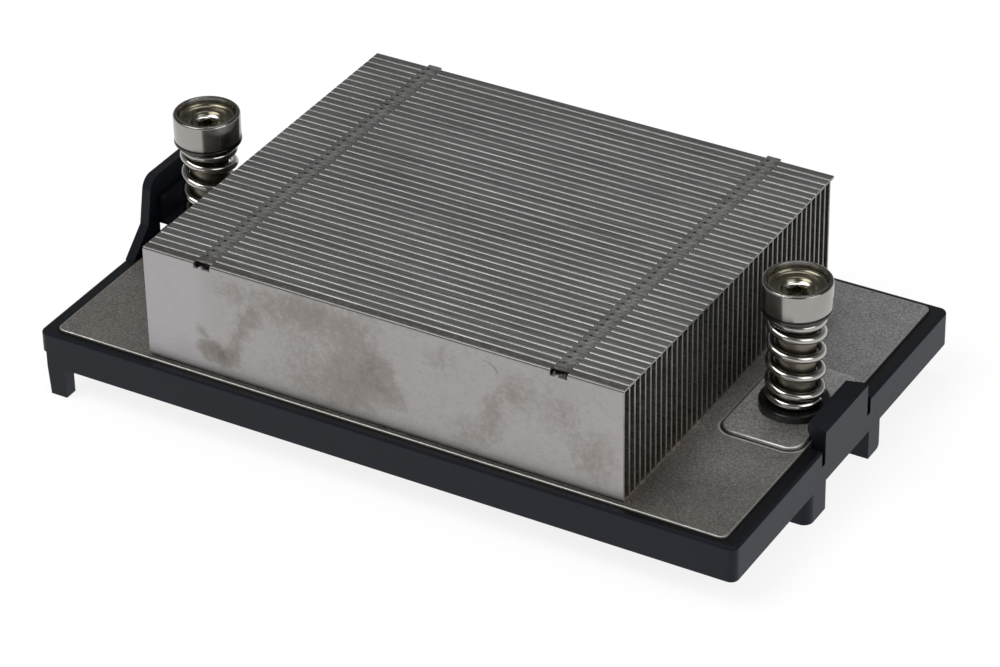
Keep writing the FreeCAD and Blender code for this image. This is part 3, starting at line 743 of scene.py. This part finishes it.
@dataclass
class ScrewSteel(PlatedSteel):
    """Plated screw: a bright head with an olive dish, and a shank darkened with painted shade from the
    spring round it.
    """

    name: str = "screw_steel"
    dish: Colour = (0.155, 0.142, 0.105)
    rim: Colour = (0.15, 0.145, 0.135)
    # The shank colour is darkened for painted shade from the spring round it.
    shank: Colour = (0.17, 0.153, 0.125)
    glint: Colour = (0.95, 0.94, 0.90)
    # The gap colour is painted shade for the groove under the head.
    groove_shade: Colour = (0.02, 0.02, 0.019)
    glint_side: tuple[float, float] = (-0.5, 0.866)

    def paint(self) -> None:
        """Paint the dish, the rim and the shank with its painted shade over the plated steel, with
        painted shade in the groove under the head and a painted glint in the drive recess.
        """
        super().paint()
        from_axis = abs(self.across) - SCREW_AXIS
        radius = (from_axis * from_axis + self.along * self.along) ** 0.5
        level = self.height
        marks = self.noise(0.5, EVEN, 3.0, 0.6, 9.0)
        chips = self.noise(0.30, EVEN, 2.0, 0.6, 13.0)
        head = level.ramp(29.0 * MM, 29.1 * MM)
        cup = (1.0 - radius.ramp(4.55 * MM, 4.72 * MM)) * level.ramp(30.0 * MM, 30.2 * MM)
        crown = level.ramp(34.10 * MM, 34.22 * MM) * radius.ramp(4.55 * MM, 4.70 * MM)
        groove = level.band(29.1 * MM, 29.2 * MM, 29.93 * MM, 30.03 * MM)
        # Painted shade: the shank inside the spring is darker.
        self.cover(1.0 - head, self.shade(self.shank, 0.75 + marks * 0.5))
        self.cover(cup, self.shade(self.dish, 0.6 + marks * 0.8))
        self.cover(crown * (1.0 - chips.ramp(0.60, 0.68)), self.rim)
        # Painted shade in the groove and under-edge below the head's wall.
        self.cover(groove * (1.0 - cup) * 0.85, self.groove_shade)
        # Painted glint on the far side of the ring round the drive recess.
        behind = from_axis * self.across.sign() * self.glint_side[0] + self.along * self.glint_side[1]
        patch_share = radius.band(1.95 * MM, 2.10 * MM, 2.30 * MM, 2.45 * MM)
        self.cover(patch_share * cup * (behind / MM).ramp(1.1, 1.8) * 0.7, self.glint)
        rough = 0.15 + cup * 0.05 + (1.0 - head) * 0.17 + marks * 0.06
        self.set_sockets(Base_Color=self.colour, Roughness=rough.clamped())


@dataclass
class SpringWire(PlatedSteel):
    """Bright drawn wire, with painted shade underneath and where it lies against the head."""

    name: str = "spring_wire"
    under: Colour = (0.05, 0.047, 0.042)

    def paint(self) -> None:
        """Paint shade on the underside of the wire and on its top coil."""
        super().paint()
        _, _, upward = self.facing()
        # Painted shade on the wire's underside and on the top coil under the head.
        below = upward.ramp(0.05, -0.45)
        last = self.height.ramp(28.0 * MM, 28.9 * MM)
        self.cover((below * 0.8).either(last * 0.75), self.under)
        self.set_sockets(Base_Color=self.colour)


@dataclass
class SeatBlack(Finish):
    """Turned black bush."""

    name: str = "seat_black"
    body: Colour = (0.007, 0.0066, 0.0062)
    sheen: float = 0.30

    def paint(self) -> None:
        """Paint the bush."""
        marks = self.noise(0.3, EVEN, 3.0, 0.6)
        self.set_sockets(Base_Color=self.shade(self.body, 0.7 + marks * 0.6), Metallic=0.0,
                         Roughness=(0.16 + marks * 0.2).clamped(), Specular_IOR_Level=self.sheen)


# --- Assemblies ----------------------------------------------------------------------------


@dataclass
class FinStack:
    """The folded fins, front to back, with the small metal of their locks."""

    names: list[str] = field(default_factory=lambda: sorted(
        name for name in frame["nodes"] if name.startswith("fin_")))

    def build(self) -> None:
        """Dress the fins, with a finish of its own for the front one."""
        sheet = FinSheet(slot="fin_metal")
        sheet.dress(self.names[1:])
        FrontFinSheet(slot="fin_metal").dress(self.names[:1])
        LockMetal(self.names).build(sheet)


@dataclass(frozen=True)
class Lock:
    """A lock window, by its row, the front of its fin's face and the top of the fold."""

    side: Side
    face: float
    top: float

    @property
    def row(self) -> float:
        """The middle of the window along X."""
        return self.side.value * LOCK_ROW


@dataclass
class LockMetal:
    """The burrs in the locks: what closes each window round its tongue, and the fold's pips."""

    names: list[str]
    half_window: float = 1.45 * MM
    half_tongue: float = 1.15 * MM
    window_depth: float = 1.0 * MM
    tongue_depth: float = 0.7 * MM
    below_top: float = 0.05 * MM
    thickness: float = 0.3 * MM
    slack: float = 0.02 * MM
    pip: float = 0.21 * MM
    pip_places: tuple[tuple[float, float], ...] = ((-1.02 * MM, 0.10 * MM), (0.82 * MM, 0.12 * MM))
    pip_stretch: Triple = (1.7, 0.9, 0.85)
    tooth_front: float = 0.03 * MM
    tooth_back: float = 0.32 * MM
    tooth_floor: float = 1.0 * MM
    tooth_steps: int = 8

    def build(self, finish: Finish) -> None:
        """Fill every lock.

        Args:
            finish: the fins' material.
        """
        seams, pips = bmesh.new(), bmesh.new()
        for name in self.names:
            low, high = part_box(name)
            for lock in (Lock(side, low[1], high[2]) for side in Side):
                if name == self.names[0]:
                    self.add_front_tooth(seams, lock)
                    continue
                self.add_seam(seams, lock)
                if lock.side is Side.RIGHT:
                    self.add_pips(pips, lock)
        for label, mesh in (("lock_seams", seams), ("fold_pips", pips)):
            piece = new_piece(label, mesh, finish, smooth=label == "fold_pips")
            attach(piece, "heatsink")

    def add_seam(self, mesh: bmesh.types.BMesh, lock: Lock) -> None:
        """Close a window's three gaps with thin strips.

        Args:
            mesh: the mesh that they go in.
            lock: the window.
        """
        tongue, window = self.half_tongue + self.slack, self.half_window - self.slack
        near, back = lock.face + self.slack, lock.face + self.window_depth - self.slack
        behind = lock.face + self.tongue_depth + self.slack
        top = lock.top - self.below_top
        for left, right, front, rear in (
                (-window, -tongue, near, back), (tongue, window, near, back),
                (-tongue, tongue, behind, back)):
            add_block(mesh, (lock.row + left, front, top - self.thickness),
                      (lock.row + right, rear, top))

    def add_pips(self, mesh: bmesh.types.BMesh, lock: Lock) -> None:
        """Add the small pips left where the fold runs out on both sides of the lock.

        Args:
            mesh: the mesh that they go in.
            lock: the window between them.
        """
        stretch = Matrix.Diagonal((*self.pip_stretch, 1.0))
        for offset, back in self.pip_places:
            place = Matrix.Translation((lock.row + offset, lock.face + back,
                                        lock.top - self.pip * 0.75))
            bmesh.ops.create_uvsphere(mesh, u_segments=10, v_segments=6, radius=self.pip,
                                      matrix=place @ stretch)

    def add_front_tooth(self, mesh: bmesh.types.BMesh, lock: Lock) -> None:
        """Add the torn edge that stands in the front fin's window.

        The left one is a low hump and the right one a bent strip with curls.

        Args:
            mesh: the mesh that it goes in.
            lock: the window.
        """
        humps = {Side.LEFT: ((-0.30, 0.50, 0.42), (-1.35, 0.20, 0.30), (1.30, 0.25, 0.22)),
                 Side.RIGHT: ((-0.25, 0.42, 0.40), (0.35, 0.36, 0.58), (0.95, 0.22, 0.80),
                              (-0.80, 0.22, 0.80), (1.30, 0.24, 0.45))}[lock.side]
        floor = lock.top - self.tooth_floor
        angles = [index * math.pi / self.tooth_steps for index in range(self.tooth_steps + 1)]
        for middle, half, rise in humps:
            arc = [(lock.row + (middle + half * math.cos(angle)) * MM,
                    floor + rise * math.sin(angle) * MM) for angle in angles]
            front = [mesh.verts.new((x, lock.face + self.tooth_front, z)) for x, z in arc]
            back = [mesh.verts.new((x, lock.face + self.tooth_back, z)) for x, z in arc]
            mesh.faces.new(front)
            mesh.faces.new(back[::-1])
            for index in range(-1, len(arc) - 1):
                mesh.faces.new((front[index + 1], front[index], back[index], back[index + 1]))


def add_block(mesh: bmesh.types.BMesh, low: Sequence[float], high: Sequence[float]) -> None:
    """Add a flat strip between two corners.

    Args:
        mesh: the mesh that it goes in.
        low: its lowest corner.
        high: its highest corner.
    """
    corners = [mesh.verts.new((x, y, z)) for z in (low[2], high[2])
               for x, y in ((low[0], low[1]), (high[0], low[1]), (high[0], high[1]), (low[0], high[1]))]
    faces = ((3, 2, 1, 0), (4, 5, 6, 7), (0, 1, 5, 4), (1, 2, 6, 5), (2, 3, 7, 6), (3, 0, 4, 7))
    for face in faces:
        mesh.faces.new([corners[index] for index in face])


def bridge(mesh: bmesh.types.BMesh, rings: Sequence[Sequence[bmesh.types.BMVert]]) -> None:
    """Close the skin between rings of points and turn its faces outward.

    Args:
        mesh: the mesh that the rings are in.
        rings: the rings in order, each with as many points as the others or a single one.
    """
    count = max(len(ring) for ring in rings)
    for before, after in zip(rings, rings[1:]):
        for index in range(count):
            following = (index + 1) % count
            corners = [before[index % len(before)], before[following % len(before)],
                       after[following % len(after)], after[index % len(after)]]
            mesh.faces.new(list(dict.fromkeys(corners)))
    bmesh.ops.recalc_face_normals(mesh, faces=mesh.faces)


@dataclass
class Screw:
    """A captive screw: dished head with a lobed drive, shank, ring groove and thread.

    Its sizes are in millimetres, and crease is the angle in degrees that stays crisp.
    """

    side: Side
    segments: int = 96
    head_radius: float = 5.37
    thread_radius: float = 2.0
    thread_length: float = 4.1
    thread_steps: int = 46
    thread_pitch: float = 0.7
    thread_depth: float = 0.28
    drive_radii: tuple[float, float] = (1.5, 1.87)
    drive_depth: float = 4.0
    lobes: int = 6
    lobe_depth: float = 0.24
    crease: float = 35.0

    def profile(self, top: float) -> list[tuple[float, float]]:
        """The outline from the tip up the outside and down into the drive.

        Args:
            top: the height of the head's top in millimetres.

        Returns:
            Radii and heights in millimetres.
        """
        outline = [(0.0, 1.0), (1.55, 1.0), (1.72, 1.15)]
        outline += [(self.thread_radius, 1.4 + self.thread_length * index / self.thread_steps)
                    for index in range(self.thread_steps + 1)]
        outline += [(2.05, 5.55), (3.02, 5.55), (3.1, 5.62), (3.1, 6.15), (2.3, 6.15), (2.3, 7.05),
                    (3.1, 7.05), (3.1, 18.0), (3.1, 29.15), (5.05, 29.15), (5.30, 29.24),
                    (5.42, 29.38), (5.42, 29.60), (5.36, 29.72), (5.22, 29.76), (5.20, 29.95)]
        wall = self.head_radius
        outline += [(wall, 30.04), (wall, top - 0.36), (wall - 0.05, top - 0.20),
                    (wall - 0.16, top - 0.07), (wall - 0.32, top), (4.82, top), (4.72, top - 0.04),
                    (4.66, top - 0.14), (4.58, top - 0.9), (4.46, top - 1.22), (4.2, top - 1.42),
                    (3.8, top - 1.50), (2.9, top - 1.52), (2.76, top - 1.56), (2.5, top - 1.86),
                    (2.28, top - 2.16), (2.12, top - 2.24), (1.9, top - 2.27), (1.84, top - 2.34),
                    (1.82, top - 3.6), (1.6, top - 3.7), (0.0, top - 4.1)]
        return outline

    def reach(self, radius: float, height: float, angle: float, top: float) -> float:
        """The radius at a place, with the thread and the drive's lobes cut in.

        Args:
            radius: the plain profile's radius.
            height: the place's height.
            angle: the place's direction.
            top: the height of the head's top.

        Returns:
            The radius in millimetres.
        """
        if radius == self.thread_radius:
            turn = (height / self.thread_pitch - angle / math.tau) % 1.0
            return radius - self.thread_depth * abs(2.0 * turn - 1.0)
        if self.drive_radii[0] < radius < self.drive_radii[1] and height > top - self.drive_depth:
            return radius - self.lobe_depth * (1.0 - math.cos(self.lobes * angle))
        return radius

    def build(self, finish: Finish) -> None:
        """Turn the screw in place and let it move with its body.

        Args:
            finish: the screw's material.
        """
        node = self.side.part("screw")
        low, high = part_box(node)
        middle = self.side.value * SCREW_AXIS
        top = high[2] / MM
        mesh = bmesh.new()
        rings = []
        for radius, height in self.profile(top):
            if radius == 0.0:
                rings.append([mesh.verts.new((middle, 0.0, height * MM))])
                continue
            ring = []
            for index in range(self.segments):
                angle = index * math.tau / self.segments
                reach = self.reach(radius, height, angle, top) * MM
                ring.append(mesh.verts.new((middle + reach * math.cos(angle),
                                            reach * math.sin(angle), height * MM)))
            rings.append(ring)
        bridge(mesh, rings)
        piece = new_piece(self.side.part("captive_screw"), mesh, finish)
        sharpen(piece, self.crease)
        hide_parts(node)
        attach(piece, self.side.part("fastener"))
        LOG.info("%s spans %.2f to %.2f mm", piece.name, low[2] / MM, top)


@dataclass
class Spring:
    """A left-hand compression spring of round wire, with closed and ground ends."""

    side: Side
    wire: float = 1.35 * MM
    closed_turns: float = 1.0
    open_turns: float = 3.5
    steps_a_turn: int = 56
    section_points: int = 16
    base: float = field(init=False)
    top: float = field(init=False)
    axis: tuple[float, float] = field(init=False)
    radius: float = field(init=False)

    def __post_init__(self) -> None:
        """Take the spring's place and size from its model node."""
        low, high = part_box(self.side.part("spring"))
        self.base, self.top = low[2], high[2]
        self.axis = ((low[0] + high[0]) / 2.0, (low[1] + high[1]) / 2.0)
        self.radius = (high[0] - low[0] - self.wire) / 2.0

    def build(self, finish: Finish) -> None:
        """Wind the spring in place.

        Args:
            finish: the wire's material.
        """
        mesh = bmesh.new()
        steps = round(self.total_turns * self.steps_a_turn)
        rings = [self.ring(mesh, self.total_turns * index / steps) for index in range(steps + 1)]
        mesh.faces.new(rings[0])
        mesh.faces.new(reversed(rings[-1]))
        bridge(mesh, rings)
        piece = new_piece(self.side.part("coil_spring"), mesh, finish)
        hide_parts(self.side.part("spring"))
        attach(piece, "heatsink")
        joint = self.side.part("screw_press")
        travel = next(item["range_m"][0] for item in frame["joints"] if item["name"] == joint)
        1.0 + travel / (self.top - self.base)
        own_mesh(piece)

    @property
    def total_turns(self) -> float:
        """How many turns the wire makes from end to end."""
        return 2.0 * self.closed_turns + self.open_turns

    def rise(self, turn: float) -> float:
        """Work out the height of the wire's middle at a place along it.

        Args:
            turn: the place, in turns from the lower end.

        Returns:
            The height.
        """
        if turn > self.total_turns / 2.0:
            return self.base + self.top - self.rise(self.total_turns - turn)
        slope = (self.top - self.base - 3.0 * self.wire) / self.open_turns
        closed = min(turn, self.closed_turns)
        height = self.base + self.wire * (0.5 + closed / self.closed_turns)
        return height + max(turn - self.closed_turns, 0.0) * slope

    def ring(self, mesh: bmesh.types.BMesh, turn: float) -> list[bmesh.types.BMVert]:
        """Add one round section of the wire, cut flat where an end is ground.

        Args:
            mesh: the mesh that it goes in.
            turn: the place along the wire, in turns.

        Returns:
            The section's points.
        """
        angle = -turn * math.tau
        height = self.rise(turn)
        points = []
        for index in range(self.section_points):
            around = index * math.tau / self.section_points
            reach = self.radius + math.cos(around) * self.wire / 2.0
            level = min(max(height + math.sin(around) * self.wire / 2.0, self.base), self.top)
            points.append(mesh.verts.new((self.axis[0] + math.cos(angle) * reach,
                                          self.axis[1] + math.sin(angle) * reach, level)))
        return points


def sharpen(piece: bpy.types.Object, degrees: float) -> None:
    """Keep a smooth piece's edges crisp where its faces turn by more than an angle.

    Args:
        piece: the piece.
        degrees: the angle.
    """
    mesh = bmesh.new()
    mesh.from_mesh(piece.data)
    for edge in mesh.edges:
        if len(edge.link_faces) == 2:
            edge.smooth = edge.calc_face_angle() < math.radians(degrees)
    mesh.to_mesh(piece.data)
    mesh.free()


def add_object(name: str, data: bpy.types.ID) -> bpy.types.Object:
    """Add an object to the scene.

    Args:
        name: the object's name.
        data: its mesh, light or camera.

    Returns:
        The object.
    """
    added = bpy.data.objects.new(name, data)
    bpy.context.scene.collection.objects.link(added)
    return added


def new_piece(name: str, mesh: bmesh.types.BMesh, finish: Finish,
              smooth: bool = True) -> bpy.types.Object:
    """Turn a mesh in the making into a piece.

    Args:
        name: the piece's name.
        mesh: its mesh, which is used up.
        finish: its material.
        smooth: whether its faces are shaded smooth.

    Returns:
        The piece.
    """
    data = bpy.data.meshes.new(name)
    mesh.to_mesh(data)
    mesh.free()
    data.polygons.foreach_set("use_smooth", [smooth] * len(data.polygons))
    data.materials.append(finish.material)
    LOG.info("%s: %d faces", name, len(data.polygons))
    return add_object(name, data)


@dataclass
class Fasteners:
    """The captive screws with their springs, seats and rings."""

    def build(self) -> None:
        """Wind the springs and dress the rest."""
        steel = ScrewSteel(slot="screw_steel")
        wire = SpringWire(slot="spring_steel", metal=(0.42, 0.405, 0.38), shine=0.12)
        black = SeatBlack(slot="seat_plastic")
        ring = PlatedSteel(name="ring_steel", slot="ring_steel", metal=(0.3, 0.29, 0.28), shine=0.3)
        for side in Side:
            Spring(side).build(wire)
            Screw(side).build(steel)
            for finish, word in ((wire, "spring"), (steel, "screw"), (black, "spring_seat"),
                                 (ring, "retaining_ring")):
                finish.dress([side.part(word)])


@dataclass
class Carrier:
    """The base plate and the moulding that holds it."""

    def build(self) -> None:
        """Dress the plate and the moulding."""
        PlateMetal(slot="base_metal").dress(["base_plate"])
        MouldedBlack(slot="black_plastic").dress(["carrier_frame"])


# --- Studio ---------------------------------------------------------------------------------


def towards(azimuth: float, elevation: float) -> Vector:
    """Work out the direction from the object to a place round it.

    Args:
        azimuth: degrees from the front, growing to the right.
        elevation: degrees above the floor.

    Returns:
        The direction, of length 1.
    """
    turn, lift = math.radians(azimuth), math.radians(elevation)
    return Vector((math.sin(turn) * math.cos(lift), -math.cos(turn) * math.cos(lift), math.sin(lift)))


@dataclass(frozen=True)
class Lamp:
    """A soft area lamp that looks at the object."""

    name: str
    azimuth: float
    elevation: float
    power: float
    width: float
    height: float
    distance: float = 0.9

    def hang(self, target: Vector) -> None:
        """Put the lamp up.

        Args:
            target: the point that it looks at.
        """
        light = bpy.data.lights.new(self.name, "AREA")
        light.shape = "RECTANGLE"
        light.size = self.width
        light.size_y = self.height
        light.energy = self.power
        lamp = add_object(self.name, light)
        away = towards(self.azimuth, self.elevation)
        lamp.location = target + away * self.distance
        lamp.rotation_euler = away.to_track_quat("Z", "Y").to_euler()
        LOG.info("%s: %.1f W", self.name, self.power)


@dataclass(frozen=True)
class Viewpoint:
    """The camera, set by where it looks and from which side."""

    target: Triple = (0.0073, -0.01073, 0.017)
    azimuth: float = 30.47
    elevation: float = 32.904
    roll: float = -1.091
    distance: float = 0.6235
    lens: float = 147.38
    sensor: float = 36.0

    def set_up(self) -> None:
        """Make the camera and use it."""
        data = bpy.data.cameras.new("camera")
        data.lens = self.lens
        data.sensor_width = self.sensor
        camera = add_object("camera", data)
        roll = math.radians(self.roll)
        back = towards(self.azimuth, self.elevation)
        level = towards(self.azimuth + 90.0, 0.0)
        upright = back.cross(level)
        right = level * math.cos(roll) + upright * math.sin(roll)
        up = back.cross(right)
        matrix = Matrix((right, up, back)).transposed().to_4x4()
        matrix.translation = Vector(self.target) + back * self.distance
        camera.matrix_world = matrix
        bpy.context.scene.camera = camera


@dataclass
class Paper(Finish):
    """The white floor. Rays that see it straight or by reflection find it evenly white."""

    name: str = "paper"
    white: Colour = (0.86, 0.86, 0.86)
    evenness: float = 0.82
    glow: float = 1.04

    def paint(self) -> None:
        """Mix plain white with an even glow for the rays that look at it."""
        self.set_sockets(Base_Color=self.white, Roughness=0.9, Specular_IOR_Level=0.0)
        path = self.node("ShaderNodeLightPath").outputs
        seen = Value(self, path["Is Camera Ray"]).either(Value(self, path["Is Glossy Ray"]))
        seen = seen.either(Value(self, path["Is Transmission Ray"]))
        glow = self.node("ShaderNodeEmission", {}, {"Color": EVEN, "Strength": self.glow})
        both = self.node("ShaderNodeMixShader", {}, {
            0: seen * self.evenness, 1: self.shader.outputs[0], 2: glow.outputs[0]})
        output = next(node for node in self.nodes if node.type == "OUTPUT_MATERIAL")
        self.links.new(both.outputs[0], output.inputs["Surface"])


@dataclass
class Surroundings(Painting):
    """What lights the object from all round: pale near the horizon and dim above it."""

    stops: tuple[tuple[float, Colour], ...] = (
        (0.0, (0.85, 0.85, 0.85)), (0.10, (0.75, 0.75, 0.76)), (0.34, (0.30, 0.30, 0.305)),
        (0.60, (0.17, 0.17, 0.175)), (0.85, (0.16, 0.16, 0.165)), (1.0, (0.4, 0.4, 0.4)))

    def build(self) -> None:
        """Make the world and paint it."""
        world = bpy.data.worlds.new("studio")
        bpy.context.scene.world = world
        self.start(world)
        spot = self.node("ShaderNodeTexCoord").outputs["Generated"]
        parts = self.node("ShaderNodeSeparateXYZ", {}, {0: spot})
        ramp = self.node("ShaderNodeValToRGB", {"stops": self.stops}, {0: parts.outputs["Z"]})
        background = self.node("ShaderNodeBackground", {}, {"Color": ramp.outputs[0]})
        self.node("ShaderNodeOutputWorld", {}, {0: background.outputs[0]})


@dataclass
class Studio:
    """Floor, surroundings, lamps and camera."""

    floor_size: float = 12.0
    lamps: tuple[Lamp, ...] = (
        Lamp("key", -40.0, 55.0, 6.0, 0.7, 0.5),
        Lamp("fill", 80.0, 35.0, 3.0, 0.6, 0.6),
        Lamp("back", 190.0, 70.0, 1.5, 0.5, 0.3),
    )

    def build(self) -> None:
        """Set everything up round the object."""
        low, high = (Vector(corner) for corner in CAD_BOX)
        middle = (low + high) / 2.0
        self.lay_floor(low.z)
        Surroundings().build()
        for lamp in self.lamps:
            lamp.hang(middle)
        Viewpoint().set_up()

    def lay_floor(self, level: float) -> None:
        """Lay the floor.

        Args:
            level: its height.
        """
        mesh = bmesh.new()
        half = self.floor_size / 2.0
        corners = ((-half, -half), (half, -half), (half, half), (-half, half))
        mesh.faces.new([mesh.verts.new((x, y, level)) for x, y in corners])
        new_piece("floor", mesh, Paper())


def main() -> None:
    """Dress the heatsink and set up the studio."""
    logging.basicConfig(level=logging.INFO, format="%(name)s %(message)s")
    bpy.context.scene.view_settings.view_transform = "Standard"
    FinStack().build()
    Carrier().build()
    Fasteners().build()
    Studio().build()


if __name__ == "__main__":
    main()
